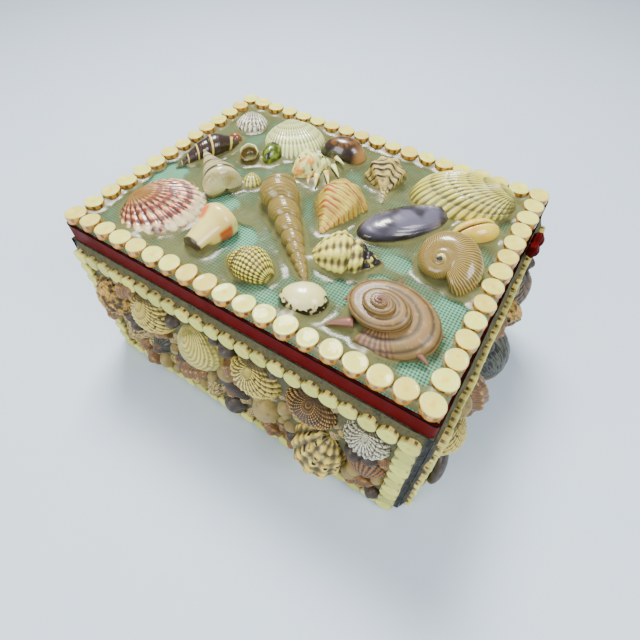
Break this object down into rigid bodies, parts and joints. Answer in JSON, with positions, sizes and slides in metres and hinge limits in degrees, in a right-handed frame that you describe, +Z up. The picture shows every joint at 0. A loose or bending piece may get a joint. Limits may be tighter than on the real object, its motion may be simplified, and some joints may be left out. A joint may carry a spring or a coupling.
{
  "type": "shell box",
  "caption": "Rectangular trinket box with a lift-off lid, cemented all over with sea shells and edged with fish-bone discs and a satin ribbon.",
  "frame": {"origin": "centre of the underside", "axes": "+X along the long side, +Z up; the long front face looks along -Y"},
  "size_m": [0.2302, 0.1838, 0.1218],
  "materials": {
    "cement": "thin wooden wall under a coat of grey-green cement, matt",
    "board": "bare board, matt",
    "cloth": "woven gingham cloth under clear resin, glossy",
    "ribbon": "crimson satin",
    "bone": "cream fish-bone discs under resin, satin",
    "cream": "cream shell under resin, satin",
    "white": "white shell under resin, glossy",
    "pearl": "pearly shell, glossy",
    "tan": "tan shell under resin, glossy",
    "amber": "amber shell under resin, glossy",
    "brown": "brown shell under resin, glossy",
    "speckled": "speckled brown and cream shell, satin",
    "green": "olive green shell, glossy",
    "coral": "coral and white ribbed shell, satin",
    "yellow": "yellow shell, glossy",
    "pink": "pinkish tan shell, satin",
    "purple": "purple grey shell, glossy",
    "black": "black and grey shell, satin"
  },
  "bodies": {
    "root": {"carcass": "cement", "lid_board": "board", "lid_cloth": "cloth", "lid_ribbon": "ribbon", "ribbon_knot": "ribbon", "lid_discs_front": "bone", "lid_discs_back": "bone", "lid_discs_right": "bone", "lid_discs_left": "bone", "front_discs": "bone", "right_discs": "bone", "back_discs": "bone", "left_discs": "bone", "lid_turret_tan": "amber", "lid_delphinula_pink": "pink", "lid_moon_tan": "tan", "lid_scallop_coral": "coral", "lid_cone_orange": "white", "lid_nutmeg_check": "speckled", "lid_cowrie_white": "white", "lid_drupe_cream": "cream", "lid_murex_orange": "amber", "lid_mussel_purple": "purple", "lid_cowrie_yellow": "yellow", "lid_murex_brown": "speckled", "lid_cowrie_brown": "brown", "lid_drupe_white": "white", "lid_nerite_green": "green", "lid_cup_brown": "cream", "lid_top_pearl": "pearl", "lid_mitre_brown": "brown", "lid_cockle_white": "cream", "lid_cockle_cream": "cream", "lid_cockle_speckled": "speckled", "lid_periwinkle_orange": "tan", "lid_cockle_beige": "cream", "front_murex_cream": "cream", "front_cockle_bumpy": "speckled", "front_cockle_ribbed": "cream", "front_clam_smooth": "cream", "front_cockle_freckled": "cream", "front_cockle_brown": "speckled", "front_cockle_speckled": "cream", "front_limpet_black": "black", "front_nutmeg_ridged": "tan", "front_limpet_bumpy": "speckled", "front_mussel_purple": "purple", "front_snail_purple": "purple", "front_moon_beige": "tan", "front_scallop_golden": "amber", "front_limpets_pale": "cream", "right_whelk_tan": "tan", "right_mussel_black": "black", "right_cockle_cream": "cream", "right_snail_twisted": "speckled", "right_cockle_purple": "purple", "right_snail_brown": "brown", "back_shells": "cream", "left_shells": "speckled", "right_low_shells": "cream"}
  },
  "joints": []
}
